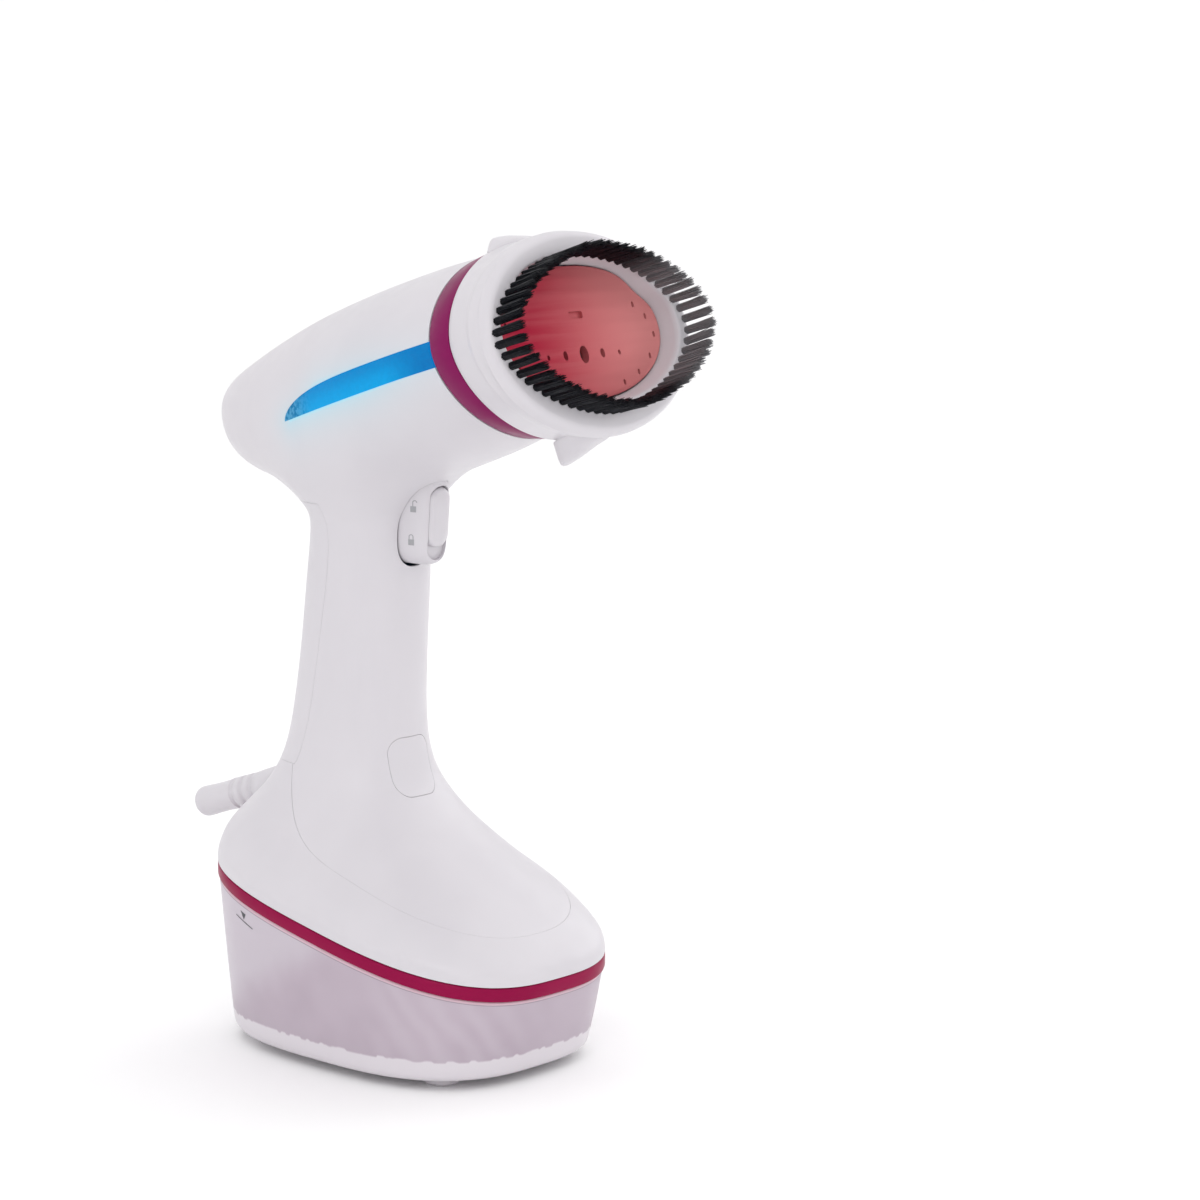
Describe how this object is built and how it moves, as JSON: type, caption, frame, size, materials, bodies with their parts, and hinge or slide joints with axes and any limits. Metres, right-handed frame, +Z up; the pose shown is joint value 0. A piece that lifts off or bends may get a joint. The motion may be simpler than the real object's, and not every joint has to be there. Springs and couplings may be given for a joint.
{
  "type": "handheld garment steamer",
  "caption": "Upright handheld garment steamer with an oval steam head ringed by a bristle brush, a slim trigger handle and a lift-off translucent water tank as its base.",
  "frame": {"origin": "centre of the bounding box's bottom face, in the plane that the tank's feet stand on", "axes": "+Z up, steam head and brush face -Y, cord guard points to +Y, +X is the object's left-to-right width as seen from the front brush"},
  "size_m": [0.1012, 0.2033, 0.281],
  "materials": {
    "white_plastic": "satin, slightly cool white",
    "magenta_plastic": "glossy deep magenta",
    "magenta_metal": "coated satin magenta red",
    "blue_lens": "glowing blue light guide",
    "tank_plastic": "smoky translucent",
    "bristle_nylon": "matt black nylon",
    "cast_aluminium": "cast",
    "steel": "brushed",
    "spring_steel": "drawn wire",
    "brass": "turned",
    "silicone": "soft, milky",
    "black_plastic": "fine matt",
    "grey_plastic": "fine matt",
    "circuit_board": "green solder mask"
  },
  "bodies": {
    "housing": {"front_housing": "white_plastic", "rear_handle_cover": "white_plastic", "base_skirt": "white_plastic", "base_plate": "white_plastic", "head_ring": "magenta_plastic", "nose_shroud": "white_plastic", "steam_plate": "magenta_metal", "chamber_gasket": "silicone", "steam_chamber": "cast_aluminium", "heating_element": "steel", "thermostat": "steel", "thermal_fuse": "steel", "chamber_inlet": "brass", "heat_shield": "grey_plastic", "light_window_left": "blue_lens", "light_window_right": "blue_lens", "led_board_left": "circuit_board", "led_board_right": "circuit_board", "control_board": "circuit_board", "trigger_pin": "steel", "trigger_spring": "spring_steel", "microswitch": "black_plastic", "button_spring": "spring_steel", "pump": "black_plastic", "pump_inlet_hose": "silicone", "pump_outlet_hose": "silicone", "water_coupling": "black_plastic", "cord_guard": "white_plastic", "cord_clamp": "black_plastic", "terminal_block": "white_plastic", "handle_screw_lower": "steel", "handle_screw_upper": "steel"},
    "trigger": {"trigger": "white_plastic"},
    "lock": {"lock_slider": "white_plastic"},
    "plunger": {"switch_plunger": "grey_plastic"},
    "release": {"release_button": "white_plastic"},
    "latch": {"tank_latch": "grey_plastic"},
    "tank": {"tank_band": "magenta_plastic", "tank_shell": "tank_plastic", "tank_valve": "white_plastic", "pickup_tube": "silicone", "pickup_filter": "grey_plastic", "foot_front_left": "tank_plastic", "foot_front_right": "tank_plastic", "foot_rear_left": "tank_plastic", "foot_rear_right": "tank_plastic"},
    "cap": {"filler_cap": "silicone"},
    "brush": {"brush_frame": "white_plastic", "brush_bristles": "bristle_nylon"}
  },
  "joints": [
    {"name": "trigger_press", "type": "hinge", "parent": "housing", "child": "trigger", "pos_m": [0, 0.001, 0.193], "axis": [1, 0, 0], "range_deg": [0, 6], "stiffness_Nm_per_rad": 0.6, "springref_deg": -5.73, "deforming": ["trigger_spring"]},
    {"name": "lock_slide", "type": "slide", "parent": "trigger", "child": "lock", "axis": [0, 0, -1], "range_m": [0, 0.004]},
    {"name": "plunger_slide", "type": "slide", "parent": "housing", "child": "plunger", "axis": [0, 1, 0], "range_m": [0, 0.0013]},
    {"name": "release_press", "type": "slide", "parent": "housing", "child": "release", "axis": [0, 1, 0], "range_m": [0, 0.0025], "stiffness_N_per_m": 400, "springref_m": -0.002, "deforming": ["button_spring"]},
    {"name": "latch_slide", "type": "slide", "parent": "housing", "child": "latch", "axis": [0, 1, 0], "range_m": [0, 0.0025]},
    {"name": "tank_pull", "type": "slide", "parent": "housing", "child": "tank", "axis": [0, 0.2334, -0.9724], "range_m": [0, 0.07]},
    {"name": "filler_cap_hinge", "type": "hinge", "parent": "tank", "child": "cap", "pos_m": [0.014, 0.042, 0.06178], "axis": [-1, 0, 0], "range_deg": [0, 70]},
    {"name": "brush_pull", "type": "slide", "parent": "housing", "child": "brush", "axis": [0, -0.9583, 0.2857], "range_m": [0, 0.045]}
  ],
  "couplings": [
    {"joint": "plunger_slide", "follows": "trigger_press", "m_per_rad": 0.0114},
    {"joint": "latch_slide", "follows": "release_press", "ratio": 1}
  ]
}
